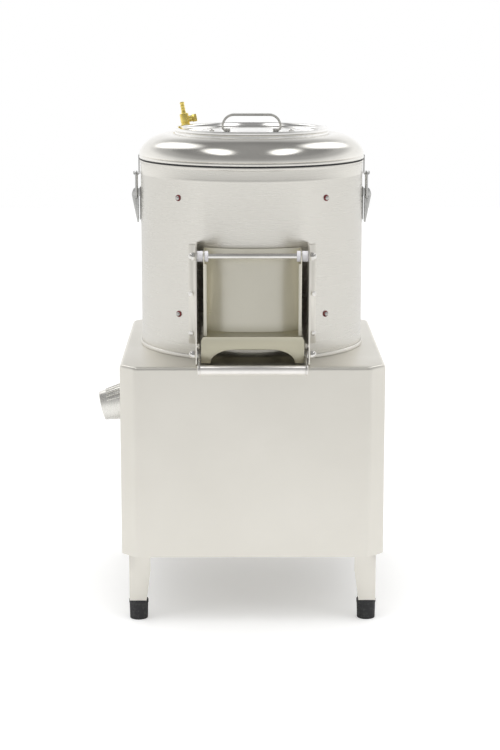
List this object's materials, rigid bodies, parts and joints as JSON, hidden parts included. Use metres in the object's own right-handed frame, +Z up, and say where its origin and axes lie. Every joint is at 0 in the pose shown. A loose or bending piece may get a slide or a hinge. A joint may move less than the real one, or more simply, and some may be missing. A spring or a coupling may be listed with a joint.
{
  "type": "potato peeler",
  "caption": "Standing electric potato peeler: drum on a cabinet with legs, domed lid with feed cover, side latches, front outlet door with locking bar, timer knob",
  "frame": {"origin": "on the floor, under the middle of the outer box", "axes": "+Z up, the outlet faces -Y, +X is to the right of someone who faces the outlet"},
  "size_m": [0.468, 0.5444, 0.8333],
  "materials": {
    "satin_steel": "satin stainless sheet",
    "polished_steel": "polished stainless",
    "zinc_steel": "plated pressed steel",
    "machined_steel": "turned and ground",
    "knob_metal": "satin silver",
    "cast_metal": "cast, turned where it runs",
    "motor_paint": "plain grey paint",
    "brass": "bright turned brass",
    "abrasive": "coarse bonded grit",
    "black_rubber": "matt",
    "white_plastic": "semi-gloss",
    "black_plastic": "moulded"
  },
  "bodies": {
    "machine": {"cabinet_shell": "satin_steel", "rear_panel": "satin_steel", "base_panel": "satin_steel", "leg_front_right": "satin_steel", "leg_front_left": "satin_steel", "leg_rear_right": "satin_steel", "leg_rear_left": "satin_steel", "foot_front_right": "black_rubber", "foot_front_left": "black_rubber", "foot_rear_right": "black_rubber", "foot_rear_left": "black_rubber", "drum_shell": "satin_steel", "drum_base_ring": "satin_steel", "drum_floor": "satin_steel", "abrasive_liner": "abrasive", "liner_screw_upper_left": "polished_steel", "liner_screw_upper_right": "polished_steel", "liner_screw_lower_left": "polished_steel", "liner_screw_lower_right": "polished_steel", "dome_lid": "polished_steel", "lid_seal": "black_rubber", "inlet_elbow": "brass", "hose_barb": "brass", "cheek_right": "satin_steel", "cheek_left": "satin_steel", "chute_floor": "satin_steel", "hinge_rod": "polished_steel", "bush_outer_right": "white_plastic", "bush_inner_right": "white_plastic", "bush_outer_left": "white_plastic", "bush_inner_left": "white_plastic", "pivot_bolt_right": "polished_steel", "pivot_bolt_left": "polished_steel", "latch_plate_right": "zinc_steel", "latch_plate_left": "zinc_steel", "timer_body": "black_plastic", "bearing_housing": "cast_metal", "bearing_lower": "machined_steel", "bearing_upper": "machined_steel", "shaft_seal": "black_rubber", "drive_belt": "black_rubber", "motor_housing": "motor_paint", "motor_fan_cover": "black_plastic", "motor_bracket": "zinc_steel", "drain_pipe": "satin_steel", "cable_gland": "black_plastic"},
    "door": {"outlet_door": "satin_steel"},
    "bar": {"locking_bar": "polished_steel"},
    "lever_right": {"latch_lever_right": "zinc_steel"},
    "bail_right": {"latch_bail_right": "zinc_steel"},
    "lever_left": {"latch_lever_left": "zinc_steel"},
    "bail_left": {"latch_bail_left": "zinc_steel"},
    "cover": {"feed_cover": "polished_steel", "cover_handle": "polished_steel"},
    "knob": {"timer_knob": "knob_metal"},
    "rotor": {"spindle": "machined_steel", "abrasive_disc": "abrasive", "disc_nut": "polished_steel", "driven_pulley": "cast_metal"},
    "motor_rotor": {"motor_pulley": "machined_steel"}
  },
  "joints": [
    {"name": "door_swing", "type": "hinge", "parent": "machine", "child": "door", "pos_m": [0.01896, -0.22175, 0.6065], "axis": [-1, 0, 0], "range_deg": [0, 70]},
    {"name": "bar_swing", "type": "hinge", "parent": "machine", "child": "bar", "pos_m": [0.01896, -0.22775, 0.4488], "axis": [-1, 0, 0], "range_deg": [0, 80]},
    {"name": "lever_right_swing", "type": "hinge", "parent": "machine", "child": "lever_right", "pos_m": [0.21646, 0.00025, 0.686], "axis": [0, -1, 0], "range_deg": [0, 100]},
    {"name": "bail_right_swing", "type": "hinge", "parent": "lever_right", "child": "bail_right", "pos_m": [0.21396, 0.00025, 0.6779], "axis": [0, -1, 0], "range_deg": [-83, 0]},
    {"name": "lever_left_swing", "type": "hinge", "parent": "machine", "child": "lever_left", "pos_m": [-0.17854, 0.00025, 0.686], "axis": [0, 1, 0], "range_deg": [0, 100]},
    {"name": "bail_left_swing", "type": "hinge", "parent": "lever_left", "child": "bail_left", "pos_m": [-0.17604, 0.00025, 0.6779], "axis": [0, 1, 0], "range_deg": [-83, 0]},
    {"name": "cover_lift", "type": "slide", "parent": "machine", "child": "cover", "axis": [0, 0, 1], "range_m": [0, 0.12]},
    {"name": "knob_turn", "type": "hinge", "parent": "machine", "child": "knob", "pos_m": [-0.19604, -0.14975, 0.356], "axis": [-1, 0, 0], "range_deg": [0, 300]},
    {"name": "spindle_spin", "type": "hinge", "parent": "machine", "child": "rotor", "pos_m": [0.01896, 0.00025, 0.3], "axis": [0, 0, 1], "continuous": true},
    {"name": "motor_spin", "type": "hinge", "parent": "machine", "child": "motor_rotor", "pos_m": [0.01896, 0.15825, 0.17], "axis": [0, 0, 1], "continuous": true}
  ],
  "couplings": [
    {"joint": "bail_right_swing", "follows": "lever_right_swing", "ratio": -0.83},
    {"joint": "bail_left_swing", "follows": "lever_left_swing", "ratio": -0.83},
    {"joint": "motor_spin", "follows": "spindle_spin", "ratio": 4}
  ]
}
